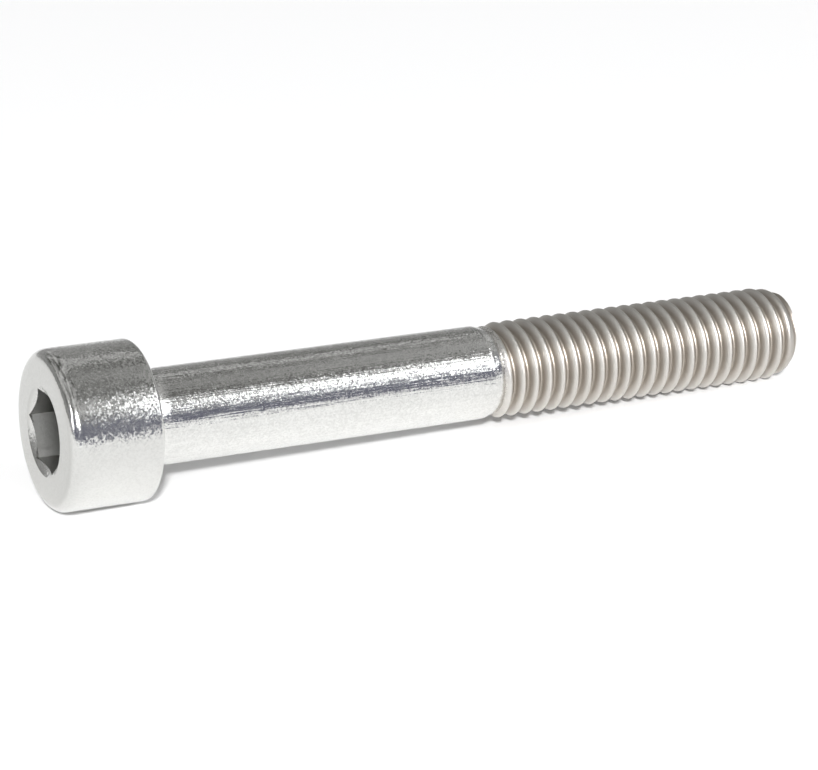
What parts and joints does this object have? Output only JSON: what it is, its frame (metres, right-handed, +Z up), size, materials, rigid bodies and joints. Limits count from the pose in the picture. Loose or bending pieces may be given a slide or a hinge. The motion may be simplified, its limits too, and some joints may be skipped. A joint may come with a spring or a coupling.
{
  "type": "hex socket cap screw",
  "caption": "Steel screw with a cylindrical head, a hexagonal key socket, a plain shank and a part-length metric thread.",
  "frame": {"origin": "on the resting surface, under the middle of the screw's overall length", "axes": "+Z up; +X from the head towards the threaded point, seen from above; the screw's own axis slopes 2.45 degrees down towards the point, as it does on a table"},
  "size_m": [0.068, 0.013, 0.0133],
  "materials": {
    "plated_steel": "tumbled bright zinc plating with a fine orange-peel sparkle"
  },
  "bodies": {
    "root": {"cap_screw": "plated_steel"}
  },
  "joints": []
}
